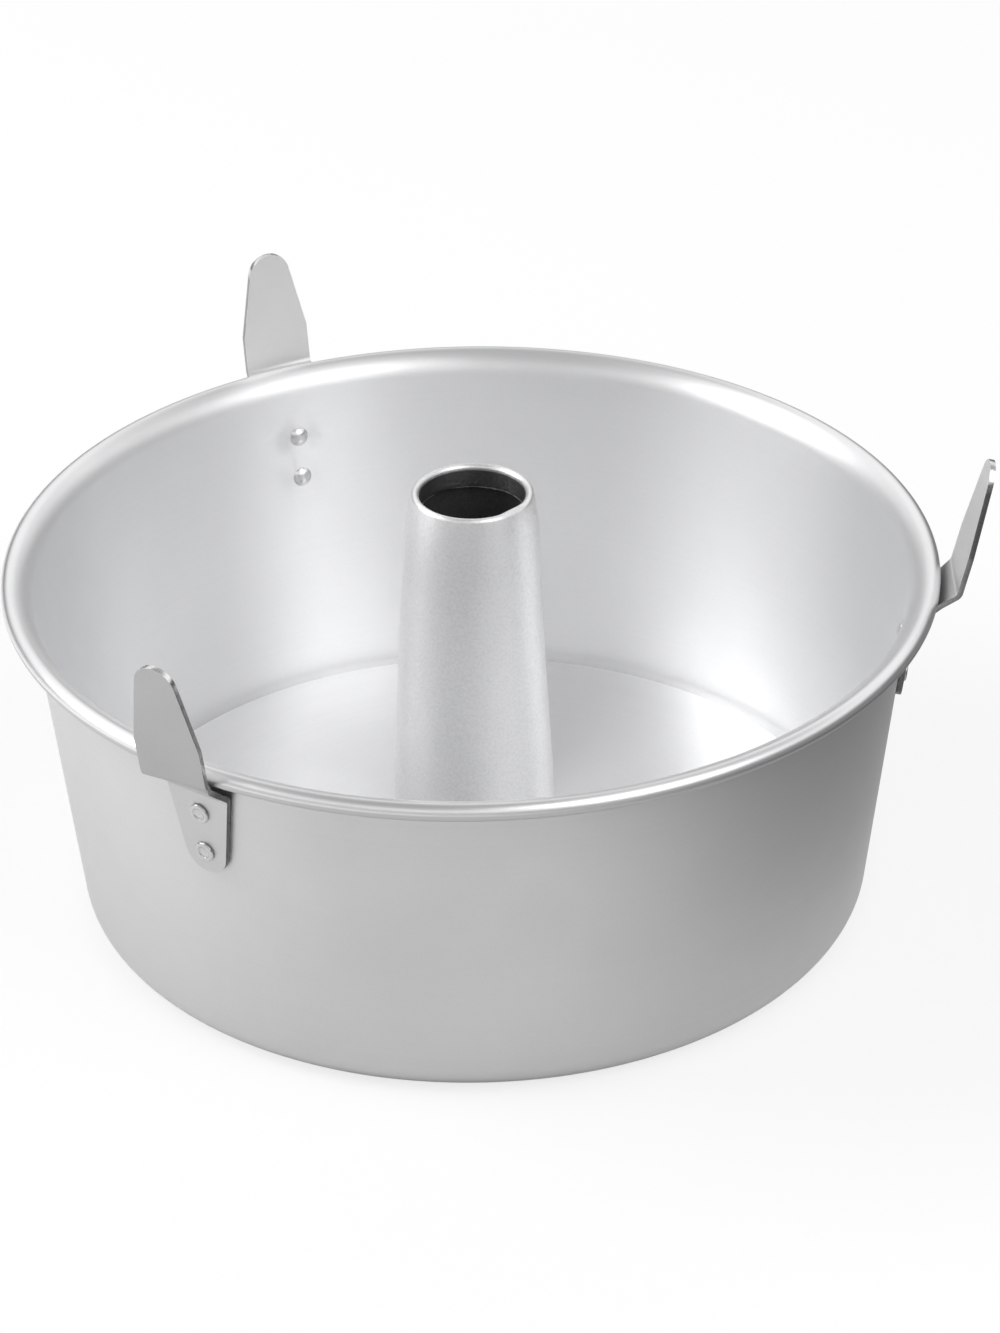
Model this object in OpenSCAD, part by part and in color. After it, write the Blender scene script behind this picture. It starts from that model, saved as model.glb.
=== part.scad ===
// Angel food cake pan, nominal 10 inch: a drafted shell with three riveted cooling legs,
// and a loose base with a centre tube that lifts out. Millimetres, +Z up, standing on z = 0.

/* [Pan shell] */
// Inside diameter of the wall at the foot of the flared rim
mouth_d = 254; // [220:1:300]
// Height of the rim above the surface that the pan stands on
pan_h = 107.7; // [90:0.1:130]
// Thickness of the shell's sheet
shell_t = 1; // [0.8:0.1:1.3]
// Lean of the wall from upright, in degrees
wall_lean = 6.8; // [4:0.1:9]
// Outside radius of the corner between the wall and the bottom
corner_r = 9.5; // [8.5:0.5:12]
// Width of the flat lip round the open bottom, inside that corner
lip_w = 8; // [5:0.5:12]

/* [Rim] */
// Depth of the flared rim, from its crest down to the straight wall
rim_depth = 6.5; // [6:0.1:8]
// How far the rim reaches out from the inside of the wall
rim_out = 9.2; // [8:0.1:10]
// Outside radius of the curl at the rim's edge
curl_r = 2.6; // [2.2:0.1:2.8]
// How far the curl turns under, past its lowest point, in degrees
curl_under = 25; // [0:5:45]

/* [Loose base] */
// Thickness of the base's sheet
base_t = 1; // [0.8:0.1:1.3]
// Height of the base's lower edge above the bottom lip, where it sits in the corner
base_rise = 3.2; // [2.5:0.1:4.5]
// Outside radius of the base's rounded edge
base_edge_r = 3; // [2:0.1:4]
// Length of the straight skirt below the rounded edge
base_skirt = 0.5; // [0.3:0.1:2]
// Gap between the base's lower edge and the shell's corner
base_gap = 0.3; // [0.2:0.05:0.5]

/* [Centre tube] */
// Thickness of the tube's sheet
tube_t = 0.9; // [0.7:0.1:1.1]
// Height of the tube's mouth above the rim
tube_above = 22.2; // [10:0.1:40]
// Inside diameter of the hem in the tube's mouth
tube_bore_d = 30.9; // [26:0.1:38]
// Outside radius of the lip that is rolled into the mouth
mouth_roll_r = 1.2; // [1.1:0.05:1.8]
// Straight length of the hem inside the mouth
hem_len = 6; // [5:0.5:9]
// Lean of the tube's wall from upright, in degrees
tube_lean = 2.97; // [1:0.01:5]
// Height of the neck over which the tube draws in below its mouth
neck_h = 15; // [8:0.5:20]
// Radius of that neck's curve, seen from the side
neck_r = 115; // [90:5:200]
// Outside radius of the bead that is pressed out round the tube's foot
bead_r = 1.5; // [1.3:0.1:2]
// Width of the flange that is turned out under the base
flange_w = 5; // [3:0.5:8]
// Gap between the tube's foot and the hole in the base
tube_gap = 0.05; // [0.03:0.01:0.1]

/* [Legs] */
// Turn of the right leg about the pan's axis, in degrees
right_turn = 0; // [-2:0.1:2]
// Turn of the back leg, in degrees
back_turn = 119.8; // [118:0.1:122]
// Turn of the front leg, in degrees
front_turn = 238.9; // [238:0.1:242]
// Thickness of the leg strip
leg_t = 1.6; // [1.2:0.1:2]
// Width of a leg at its widest
leg_w = 21; // [17:0.5:25]
// Height of the leg tips above the rim
leg_above = 35.7; // [28:0.1:50]
// Depth of the legs' lower ends below the rim's crest
leg_below = 40.7; // [38:0.1:50]
// Radius of a leg's rounded tip
tip_r = 6.5; // [5:0.5:8]
// Radius of a leg's rounded lower end
pad_r = 7; // [5.5:0.5:8]
// Radius of the soft corners where a leg is widest
shoulder_r = 3; // [1:0.5:5]
// Height above the rim at which a blade starts to narrow towards its tip
shoulder_above = 9.5; // [2:0.5:14]
// Rise of the short web between the two bends, in degrees from level
web_rise = 40; // [30:1:50]
// Lean of the right leg's blade from upright, in degrees
right_lean = 13.5; // [2:0.5:16]
// Lean of the back leg's blade from upright, in degrees
back_lean = 3; // [2:0.5:16]
// Lean of the front leg's blade from upright, in degrees
front_lean = 9; // [2:0.5:16]
// Inside radius of the two bends
bend_r = 2; // [1:0.5:3]
// Gap between the rim's curl and the web under it
under_gap = 0.9; // [0.6:0.1:1.5]
// Gap between the rim's curl and the blade beside it
side_gap = 3.4; // [2:0.1:5]
// Gap between a leg's flat pad and the round wall behind it
pad_gap = 0.05; // [0.03:0.01:0.1]

/* [Rivets] */
// Depth of the upper rivets below the rim's crest
rivet_drop = 20.2; // [19:0.1:22]
// Distance from an upper rivet down to the lower one
rivet_pitch = 13.3; // [10:0.1:14]
// Radius of a rivet's shank
shank_r = 2; // [1.5:0.1:2.3]
// Gap round a rivet's shank in its holes
shank_gap = 0.05; // [0.03:0.01:0.1]
// Radius of the domed head inside the pan
head_r = 3; // [2.7:0.1:3.5]
// Height of the domed head
head_h = 1.4; // [1:0.1:2]
// Gap between the domed head and the round wall
head_gap = 0.05; // [0.04:0.01:0.1]
// Radius of the clinched end outside the leg
clinch_r = 3.2; // [2.9:0.1:3.6]
// Height of the clinched end
clinch_h = 1.2; // [0.9:0.1:1.6]
// Radius of the dimple in the clinched end
dimple_r = 1.5; // [1:0.1:1.8]
// Depth of that dimple
dimple_h = 0.7; // [0.4:0.1:0.8]

/* [Hidden] */
$fn = 180;

leg_turns = [right_turn, back_turn, front_turn];
rivet_zs = [pan_h - rivet_drop, pan_h - rivet_drop - rivet_pitch];

// Steps along an arc in an outline
arc_steps = 12;
// How far a cutting tool reaches past what it cuts
over = 1;

// The wall's two faces, as radii at a height
wall_top_z = pan_h - rim_depth;
function wall_in(z) = mouth_d / 2 - (wall_top_z - z) * tan(wall_lean);
function wall_out(z) = wall_in(z) + shell_t / cos(wall_lean);

// The corner's centre, from which both of its faces are struck
corner_c = [wall_out(corner_r) - corner_r / cos(wall_lean), corner_r];

// The curl's centre, and the flare that runs from the wall into the curl
curl_c = [mouth_d / 2 + rim_out - curl_r, pan_h - curl_r];
wall_normal = 180 - wall_lean;
flare_from = [mouth_d / 2, wall_top_z] - curl_c;
flare_r = (flare_from * flare_from - curl_r * curl_r)
    / (2 * (flare_from * unit(wall_normal) - curl_r));
flare_c = curl_c + flare_from - flare_r * unit(wall_normal);
flare_end = atan2(curl_c[1] - flare_c[1], curl_c[0] - flare_c[0]);
curl_end = -90 - curl_under;

// The base's edge rests in the corner, and its other heights follow
base_edge_z = shell_t + base_rise;
seat_r = corner_r - shell_t - base_gap;
base_r = corner_c[0] + sqrt(seat_r * seat_r - pow(corner_r - base_edge_z, 2));
base_top_z = base_edge_z + base_skirt + base_edge_r;
base_under_z = base_top_z - base_t;
edge_c = [base_r - base_edge_r, base_top_z - base_edge_r];

// The tube, struck downwards from the lip in its mouth
bore_r = tube_bore_d / 2;
roll_c = [bore_r + mouth_roll_r, pan_h + tube_above - mouth_roll_r];
neck_end = tube_lean + neck_h / neck_r * 180 / PI;
neck_c = roll_c - (neck_r - mouth_roll_r) * unit(neck_end);
neck_from = neck_c + neck_r * unit(tube_lean);
bead_top_z = base_top_z + 2 * bead_r;
spigot_r = neck_from[0] + (neck_from[1] - bead_top_z) * tan(tube_lean);
bead_c = [spigot_r, base_top_z + bead_r];
bead_in = bead_r - tube_t;
base_hole_r = spigot_r + tube_gap;

// A leg's pad and web, on the face towards the pan
pad_dir = 90 - wall_lean;
pad_z = pan_h - leg_below;
tip_z = pan_h + leg_above;
pad_from = [wall_out(pad_z) + pad_gap / cos(wall_lean), pad_z];
web_by = curl_c + (curl_r + under_gap) * unit(web_rise - 90);
lower_bend = meet(pad_from, pad_dir, web_by, web_rise);
lower_bend_c = bend_centre(lower_bend, pad_dir, web_rise, bend_r + leg_t);

// A direction, and points along an arc
function unit(a) = [cos(a), sin(a)];
function arc(c, r, a, b) = [
    for (i = [0 : arc_steps]) c + r * unit(a + (b - a) * i / arc_steps)
];

// Where the line through p at angle a crosses the line through q at angle b
function meet(p, a, q, b) = p + unit(a) * cross(q - p, unit(b)) / cross(unit(a), unit(b));

// Centre of the arc of radius r that rounds the corner at p, where angle a turns to b
function bend_centre(p, a, b, r) =
    p - r * tan(abs(b - a) / 2) * unit(a) + r * unit(a + sign(b - a) * 90);

// A belt drawn tight round circles [x, y, r], given counterclockwise
function belt_normal(p, q) =
    let (d = [q[0] - p[0], q[1] - p[1]])
    atan2(d[1], d[0]) - 90 + asin((p[2] - q[2]) / norm(d));
function belt(rounds) = [
    for (i = [0 : len(rounds) - 1])
        let (
            here = rounds[i],
            from = belt_normal(rounds[(i + len(rounds) - 1) % len(rounds)], here),
            to = belt_normal(here, rounds[(i + 1) % len(rounds)]),
            turn = (to - from + 720) % 360
        )
        each arc([here[0], here[1]], here[2], from, from + turn)
];

// Lays out its children on the wall at height z, with their +Z square to the wall
module on_wall(turn, z) {
    rotate([0, 0, turn])
        translate([wall_out(z), 0, z])
            rotate([0, 90 + wall_lean, 0])
                children();
}

module rivet_holes(turns, depth_in, depth_out) {
    for (turn = turns, z = rivet_zs)
        on_wall(turn, z)
            translate([0, 0, -depth_in])
                cylinder(r = shank_r + shank_gap, h = depth_in + depth_out);
}

// The shell is one sheet: lip, corner, drafted wall, flare and curl
module pan_shell() {
    lip_r = corner_c[0] - lip_w;
    color("silver")
        difference() {
            rotate_extrude()
                polygon(concat(
                    [[lip_r, shell_t]],
                    arc(corner_c, corner_r - shell_t, -90, -wall_lean),
                    arc(flare_c, flare_r, wall_normal, flare_end),
                    arc(curl_c, curl_r, flare_end, curl_end),
                    arc(curl_c, curl_r - shell_t, curl_end, flare_end),
                    arc(flare_c, flare_r - shell_t, flare_end, wall_normal),
                    arc(corner_c, corner_r, -wall_lean, -90),
                    [[lip_r, 0]]
                ));
            rivet_holes(leg_turns, shell_t + over, over);
        }
}

// The base is a disc with its edge turned down and a round hole for the tube
module base_plate() {
    color("lightgray")
        rotate_extrude()
            polygon(concat(
                [[base_hole_r, base_top_z]],
                arc(edge_c, base_edge_r, 90, 0),
                [[base_r, base_edge_z], [base_r - base_t, base_edge_z]],
                arc(edge_c, base_edge_r - base_t, 0, 90),
                [[base_hole_r, base_under_z]]
            ));
}

// The tube grips the base between its bead and its flange, and is hemmed at the mouth
module centre_tube() {
    flange_r = spigot_r + flange_w;
    hem_z = roll_c[1] - hem_len;
    inner_lean_r = spigot_r - tube_t / cos(tube_lean);
    color("gainsboro")
        rotate_extrude()
            polygon(concat(
                [[flange_r, base_under_z - tube_t], [flange_r, base_under_z]],
                [[spigot_r, base_under_z]],
                arc(bead_c, bead_r, -90, 90),
                arc(neck_c, neck_r, tube_lean, neck_end),
                arc(roll_c, mouth_roll_r, neck_end, 180),
                [[bore_r, hem_z], [bore_r + tube_t, hem_z]],
                arc(roll_c, mouth_roll_r - tube_t, 180, neck_end),
                arc(neck_c, neck_r - tube_t, neck_end, tube_lean),
                [[inner_lean_r, bead_c[1] + bead_in]],
                arc(bead_c, bead_in, 90, -90),
                [[spigot_r - tube_t, bead_c[1] - bead_in]],
                arc([spigot_r, base_under_z], tube_t, 180, 270)
            ));
}

// A leg is one flat strip, cut to its outline and bent twice to pass under the rim
module leg(turn, lean) {
    blade_dir = 90 - lean;
    blade_by = curl_c + (curl_r + side_gap) * unit(blade_dir - 90);
    upper_bend = meet(web_by, web_rise, blade_by, blade_dir);
    upper_bend_c = bend_centre(upper_bend, web_rise, blade_dir, bend_r);
    foot = pad_from - over * unit(pad_dir);
    head = meet(upper_bend, blade_dir, [0, tip_z + over], 0);
    side_x = leg_w / 2 - shoulder_r;
    reach = head[0] + leg_t + over;
    color("darkgray")
        difference() {
            rotate([0, 0, turn])
                intersection() {
                    rotate([90, 0, 0])
                        linear_extrude(height = leg_w + over, center = true)
                            polygon(concat(
                                [foot],
                                arc(lower_bend_c, bend_r + leg_t, pad_dir + 90, web_rise + 90),
                                arc(upper_bend_c, bend_r, web_rise - 90, blade_dir - 90),
                                [head, head + leg_t * unit(blade_dir - 90)],
                                arc(upper_bend_c, bend_r + leg_t, blade_dir - 90, web_rise - 90),
                                arc(lower_bend_c, bend_r, web_rise + 90, pad_dir + 90),
                                [foot + leg_t * unit(pad_dir - 90)]
                            ));
                    rotate([90, 0, 90])
                        linear_extrude(height = reach)
                            polygon(belt([
                                [0, pad_z + pad_r, pad_r],
                                [side_x, lower_bend[1], shoulder_r],
                                [side_x, pan_h + shoulder_above, shoulder_r],
                                [0, tip_z - tip_r, tip_r],
                                [-side_x, pan_h + shoulder_above, shoulder_r],
                                [-side_x, lower_bend[1], shoulder_r]
                            ]));
                }
            rivet_holes([turn], over, pad_gap + leg_t + over);
        }
}

// A rivet holds a leg: domed head inside, shank through both sheets, dimpled clinch outside
module rivet(turn, z) {
    head_z = -shell_t - head_gap;
    dome_r = (head_r * head_r + head_h * head_h) / (2 * head_h);
    dome_c = [0, head_z - head_h + dome_r];
    dome_end = -acos(head_r / dome_r);
    clinch_z = pad_gap + leg_t;
    round_r = clinch_h / 2;
    crest_r = clinch_r - round_r;
    color("whitesmoke")
        on_wall(turn, z)
            rotate_extrude()
                polygon(concat(
                    arc(dome_c, dome_r, -90, dome_end),
                    [[shank_r, head_z], [shank_r, clinch_z], [crest_r, clinch_z]],
                    arc([crest_r, clinch_z + round_r], round_r, -90, 90),
                    [[dimple_r, clinch_z + clinch_h - dimple_h]],
                    [[0, clinch_z + clinch_h - dimple_h]]
                ));
}

pan_shell();
base_plate();
centre_tube();
leg(right_turn, right_lean);  // leg_right
leg(back_turn, back_lean);  // leg_back
leg(front_turn, front_lean);  // leg_front
rivet(right_turn, rivet_zs[0]);  // rivet_right_upper
rivet(right_turn, rivet_zs[1]);  // rivet_right_lower
rivet(back_turn, rivet_zs[0]);  // rivet_back_upper
rivet(back_turn, rivet_zs[1]);  // rivet_back_lower
rivet(front_turn, rivet_zs[0]);  // rivet_front_upper
rivet(front_turn, rivet_zs[1]);  // rivet_front_lower
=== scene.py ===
import math

import bmesh
import bpy
from mathutils import Matrix, Vector


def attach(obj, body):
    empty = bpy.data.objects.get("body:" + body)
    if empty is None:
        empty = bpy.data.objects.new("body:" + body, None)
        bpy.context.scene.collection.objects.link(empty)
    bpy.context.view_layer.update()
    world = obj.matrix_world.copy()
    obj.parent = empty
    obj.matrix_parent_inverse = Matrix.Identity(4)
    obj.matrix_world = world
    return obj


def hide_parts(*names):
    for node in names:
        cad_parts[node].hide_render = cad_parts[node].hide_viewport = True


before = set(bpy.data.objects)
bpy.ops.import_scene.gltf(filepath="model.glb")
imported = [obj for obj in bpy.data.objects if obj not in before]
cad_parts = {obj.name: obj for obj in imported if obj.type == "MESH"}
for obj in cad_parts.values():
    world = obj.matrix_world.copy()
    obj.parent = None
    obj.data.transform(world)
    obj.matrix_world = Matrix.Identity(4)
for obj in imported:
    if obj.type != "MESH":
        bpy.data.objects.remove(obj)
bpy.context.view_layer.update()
mm = 0.001
print("frame loaded:", len(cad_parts), "nodes")


# node helpers

def wire(tree, start, end):
    tree.links.new(start, end)


def put(tree, kind, at, **values):
    node = tree.nodes.new(kind)
    node.location = at
    for key, value in values.items():
        setattr(node, key, value)
    return node


def groupSockets(group, inputs, outputs):
    for name, kind, value in inputs:
        socket = group.interface.new_socket(name, in_out="INPUT", socket_type="NodeSocket" + kind)
        if value is not None:
            socket.default_value = value
    for name, kind in outputs:
        group.interface.new_socket(name, in_out="OUTPUT", socket_type="NodeSocket" + kind)
    return put(group, "NodeGroupInput", (-1300, 0)), put(group, "NodeGroupOutput", (1100, 0))


def noise(tree, at, point, size, detail=2.0, rough=0.55):
    node = put(tree, "ShaderNodeTexNoise", at)
    node.inputs["Detail"].default_value = detail
    node.inputs["Roughness"].default_value = rough
    wire(tree, point, node.inputs["Vector"])
    wire(tree, size, node.inputs["Scale"])
    return node.outputs["Fac"]


def sums(tree, at, operation, a, b):
    # a and b are numbers or sockets
    node = put(tree, "ShaderNodeMath", at, operation=operation)
    for socket, value in zip(node.inputs, (a, b)):
        if isinstance(value, (int, float)):
            socket.default_value = value
        else:
            wire(tree, value, socket)
    return node.outputs["Value"]


def spread(tree, at, value, low, high, toLow, toHigh, kind="LINEAR"):
    # carries the range from low to high over to the range from toLow to toHigh, and stops at its ends
    node = put(tree, "ShaderNodeMapRange", at, clamp=True, interpolation_type=kind)
    wanted = (("Value", value), ("From Min", low), ("From Max", high), ("To Min", toLow), ("To Max", toHigh))
    for name, v in wanted:
        if isinstance(v, (int, float)):
            node.inputs[name].default_value = v
        else:
            wire(tree, v, node.inputs[name])
    return node.outputs["Result"]


def grey(level, blue=0.0):
    # a little blue is what bare aluminium shows of the daylight
    return (level, level + blue * 0.3, level + blue, 1)


# camera, floor and light

studio = {
    "cameraDistance": 1516.65, "cameraRise": 31.41, "cameraTurn": 5.0, "cameraRoll": -0.95,
    "aimHeight": 50.56, "lens": 138.42, "sensor": 36, "shiftX": 0.0203, "shiftY": 0.0448, "farClip": 30,
    "floorSize": 30.0, "floorTone": 0.93, "floorGlow": 0.75, "floorRough": 0.9, "floorShine": 0.1,
    # what the metal sees of the floor: white paper at the left, then painted shade that darkens it to grey
    # and then dark towards the right, which the metal reflects; the camera sees only the white paper
    "greyTone": 0.77, "greySpan": (-0.22, -0.02), "darkShare": 0.25, "darkSpan": (0.11, 0.26),
    # the sky's strength at the horizon, half way up and overhead, and the heights where it changes
    "skyLow": 0.05, "skyMiddle": 1.1, "skyTop": 0.36, "climbSpan": (0.2, 0.42), "fadeSpan": (0.65, 0.85),
    "lightPasses": 8,
    "softboxes": {
        # place as turn, rise and distance from the pan, then size and power
        "leftSoftbox": ((180, 38, 2.0), (1.0, 1.0), 17),
        "rightSoftbox": ((321, 50, 2.0), (1.3, 1.5), 11.5),
    },
}


def addCamera(s):
    rise, turn = math.radians(s["cameraRise"]), math.radians(s["cameraTurn"])
    flat = s["cameraDistance"] * math.cos(rise) * mm
    data = bpy.data.cameras.new("studioCamera")
    data.lens, data.sensor_width = s["lens"], s["sensor"]
    data.shift_x, data.shift_y = s["shiftX"], s["shiftY"]
    data.clip_end = s["farClip"]
    camera = bpy.data.objects.new("studioCamera", data)
    bpy.context.collection.objects.link(camera)
    aim = Matrix.Rotation(turn, 4, "Z") @ Matrix.Rotation(math.pi / 2 - rise, 4, "X")
    aim = aim @ Matrix.Rotation(math.radians(s["cameraRoll"]), 4, "Z")
    spot = (flat * math.sin(turn), -flat * math.cos(turn),
            (s["cameraDistance"] * math.sin(rise) + s["aimHeight"]) * mm)
    camera.matrix_world = Matrix.Translation(spot) @ aim
    bpy.context.scene.camera = camera


def addSoftbox(name, place, size, watts):
    turn, rise, distance = math.radians(place[0]), math.radians(place[1]), place[2]
    away = Vector((math.cos(rise) * math.cos(turn), math.cos(rise) * math.sin(turn), math.sin(rise)))
    data = bpy.data.lights.new(name, "AREA")
    data.shape, data.size, data.size_y = "RECTANGLE", size[0], size[1]
    data.energy = watts
    lamp = bpy.data.objects.new(name, data)
    bpy.context.collection.objects.link(lamp)
    lamp.location = away * distance + Vector((0, 0, studio["aimHeight"] * mm))
    lamp.rotation_euler = (-away).to_track_quat("-Z", "Y").to_euler()


def addFloor(s):
    bpy.ops.object.select_all(action="DESELECT")
    bpy.ops.mesh.primitive_plane_add(size=s["floorSize"], location=(0, 0, 0))
    floor = bpy.context.object
    floor.name = "studioFloor"
    bpy.ops.object.transform_apply(location=True, rotation=True, scale=True)
    paper = bpy.data.materials.new("studioPaper")
    paper.use_nodes = True
    tree = paper.node_tree
    shader, result = tree.nodes["Principled BSDF"], tree.nodes["Material Output"]
    shader.inputs["Roughness"].default_value = s["floorRough"]
    shader.inputs["Specular IOR Level"].default_value = s["floorShine"]
    # the camera sees white paper that glows; the metal sees the paper with the painted shade to its right
    place = put(tree, "ShaderNodeTexCoord", (-900, 0))
    parts = put(tree, "ShaderNodeSeparateXYZ", (-700, 0))
    wire(tree, place.outputs["Object"], parts.inputs[0])
    across = parts.outputs["X"]
    pale = spread(tree, (-500, 0), across, *s["greySpan"], s["floorTone"], s["greyTone"], "SMOOTHSTEP")
    dark = spread(tree, (-500, -250), across, *s["darkSpan"], 1.0, s["darkShare"], "SMOOTHSTEP")
    tone = sums(tree, (-350, -150), "MULTIPLY", pale, dark)
    path = put(tree, "ShaderNodeLightPath", (-700, 300))
    seen = put(tree, "ShaderNodeMix", (-250, 100), data_type="FLOAT")
    wire(tree, path.outputs["Is Camera Ray"], seen.inputs["Factor"])
    wire(tree, tone, seen.inputs["A"])
    seen.inputs["B"].default_value = s["floorTone"]
    wire(tree, seen.outputs["Result"], shader.inputs["Base Color"])
    glow = put(tree, "ShaderNodeEmission", (0, 300))
    share = put(tree, "ShaderNodeMath", (0, 450), operation="MULTIPLY")
    wire(tree, path.outputs["Is Camera Ray"], share.inputs[0])
    share.inputs[1].default_value = s["floorGlow"]
    both = put(tree, "ShaderNodeMixShader", (400, 200))
    wire(tree, share.outputs["Value"], both.inputs["Fac"])
    wire(tree, shader.outputs["BSDF"], both.inputs[1])
    wire(tree, glow.outputs["Emission"], both.inputs[2])
    wire(tree, both.outputs["Shader"], result.inputs["Surface"])
    floor.data.materials.append(paper)


def lightWorld(s):
    world = bpy.data.worlds.new("studioWorld")
    bpy.context.scene.world = world
    world.use_nodes = True
    tree = world.node_tree
    place = put(tree, "ShaderNodeTexCoord", (-1100, 0))
    parts = put(tree, "ShaderNodeSeparateXYZ", (-900, 0))
    wire(tree, place.outputs["Generated"], parts.inputs[0])
    up = parts.outputs["Z"]
    climb = spread(tree, (-700, 150), up, *s["climbSpan"], s["skyLow"], s["skyMiddle"], "SMOOTHSTEP")
    fade = spread(tree, (-700, -150), up, *s["fadeSpan"], 1.0, s["skyTop"] / s["skyMiddle"], "SMOOTHSTEP")
    sky = tree.nodes["Background"]
    sky.inputs["Color"].default_value = (1, 1, 1, 1)
    wire(tree, sums(tree, (-450, 0), "MULTIPLY", climb, fade), sky.inputs["Strength"])


addCamera(studio)
addFloor(studio)
lightWorld(studio)
for lampName, (lampPlace, lampSize, lampPower) in studio["softboxes"].items():
    addSoftbox(lampName, lampPlace, lampSize, lampPower)
bpy.context.scene.cycles.glossy_bounces = studio["lightPasses"]  # light goes to and fro inside the pan
bpy.context.scene.view_settings.view_transform = "Standard"
print("studio ready")


# finishes

def buildSheetGroup():
    # satin aluminium sheet: sandy grain, rings from turning, cloudy tone, soft dents and pressed spots, and
    # painted shade where the Shade input darkens the tone
    group = bpy.data.node_groups.new("satinSheet", "ShaderNodeTree")
    start, end = groupSockets(group, (
        ("Point", "Vector", None),
        ("Press", "Float", 0.0), ("Shade", "Float", 0.0), ("Burnish", "Float", 0.0),
        ("Light tone", "Color", (0.85, 0.852, 0.86, 1)), ("Dark tone", "Color", (0.81, 0.812, 0.82, 1)),
        ("Cloud size", "Float", 24.0), ("Grain size", "Float", 2000.0), ("Grain depth", "Float", 0.00001),
        ("Ring size", "Float", 700.0), ("Ring depth", "Float", 0.000006), ("Ring amount", "Float", 0.3),
        ("Dent size", "Float", 16.0), ("Dent depth", "Float", 0.0004), ("Press depth", "Float", 0.0),
        ("Grain share", "Float", 0.35),
        ("Smooth", "Float", 0.4), ("Rough", "Float", 0.5), ("Polish", "Float", 0.2),
    ), (("Color", "Color"), ("Roughness", "Float"), ("Normal", "Vector")))
    point = start.outputs["Point"]

    # rings run round the axis, so their pattern is drawn over the distance from the axis and the height
    parts = put(group, "ShaderNodeSeparateXYZ", (-1100, -100))
    wire(group, point, parts.inputs[0])
    squareX = sums(group, (-1060, -20), "MULTIPLY", parts.outputs["X"], parts.outputs["X"])
    squareY = sums(group, (-1060, -120), "MULTIPLY", parts.outputs["Y"], parts.outputs["Y"])
    away = sums(group, (-950, -60), "POWER", sums(group, (-1020, -60), "ADD", squareX, squareY), 0.5)
    turnedPoint = put(group, "ShaderNodeCombineXYZ", (-850, -80))
    wire(group, away, turnedPoint.inputs["X"])
    wire(group, parts.outputs["Z"], turnedPoint.inputs["Z"])
    cloud = noise(group, (-700, 300), point, start.outputs["Cloud size"], 3)
    grain = noise(group, (-700, 100), point, start.outputs["Grain size"], 2)
    ring = noise(group, (-700, -100), turnedPoint.outputs["Vector"], start.outputs["Ring size"], 4, 0.7)
    dent = noise(group, (-700, -300), point, start.outputs["Dent size"], 1)

    # tone and roughness follow the cloud, the rings and a little of the grain
    ringMix = put(group, "ShaderNodeMix", (-400, 200), data_type="FLOAT")
    wire(group, start.outputs["Ring amount"], ringMix.inputs["Factor"])
    wire(group, cloud, ringMix.inputs["A"])
    wire(group, ring, ringMix.inputs["B"])
    grainMix = put(group, "ShaderNodeMix", (-200, 200), data_type="FLOAT")
    wire(group, start.outputs["Grain share"], grainMix.inputs["Factor"])
    wire(group, ringMix.outputs["Result"], grainMix.inputs["A"])
    wire(group, grain, grainMix.inputs["B"])
    usual = (0.35, 0.65)  # most of a noise lies between these
    share = spread(group, (0, 200), grainMix.outputs["Result"], *usual, 0.0, 1.0)
    tone = put(group, "ShaderNodeMix", (250, 250), data_type="RGBA")
    wire(group, share, tone.inputs["Factor"])
    wire(group, start.outputs["Dark tone"], tone.inputs["A"])
    wire(group, start.outputs["Light tone"], tone.inputs["B"])
    # painted shade: the Shade input darkens the tone towards near black
    shaded = put(group, "ShaderNodeMix", (500, 250), data_type="RGBA", blend_type="MULTIPLY")
    wire(group, start.outputs["Shade"], shaded.inputs["Factor"])
    wire(group, tone.outputs["Result"], shaded.inputs["A"])
    shaded.inputs["B"].default_value = grey(0.05)
    wire(group, shaded.outputs["Result"], end.inputs["Color"])
    rough = spread(group, (250, 50), share, 0.0, 1.0, start.outputs["Rough"], start.outputs["Smooth"])
    burnished = put(group, "ShaderNodeMix", (500, 50), data_type="FLOAT")
    wire(group, start.outputs["Burnish"], burnished.inputs["Factor"])
    wire(group, rough, burnished.inputs["A"])
    wire(group, start.outputs["Polish"], burnished.inputs["B"])
    wire(group, burnished.outputs["Result"], end.inputs["Roughness"])

    # relief in metres
    relief = sums(group, (0, -200), "MULTIPLY", grain, start.outputs["Grain depth"])
    layers = ((ring, "Ring depth"), (dent, "Dent depth"), (start.outputs["Press"], "Press depth"))
    for row, (value, depth) in enumerate(layers):
        part = sums(group, (150, -260 - 120 * row), "MULTIPLY", value, start.outputs[depth])
        relief = sums(group, (350, -200 - 120 * row), "ADD", relief, part)
    bump = put(group, "ShaderNodeBump", (700, -300))
    bump.inputs["Distance"].default_value = 1.0
    wire(group, relief, bump.inputs["Height"])
    wire(group, bump.outputs["Normal"], end.inputs["Normal"])
    return group


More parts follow.
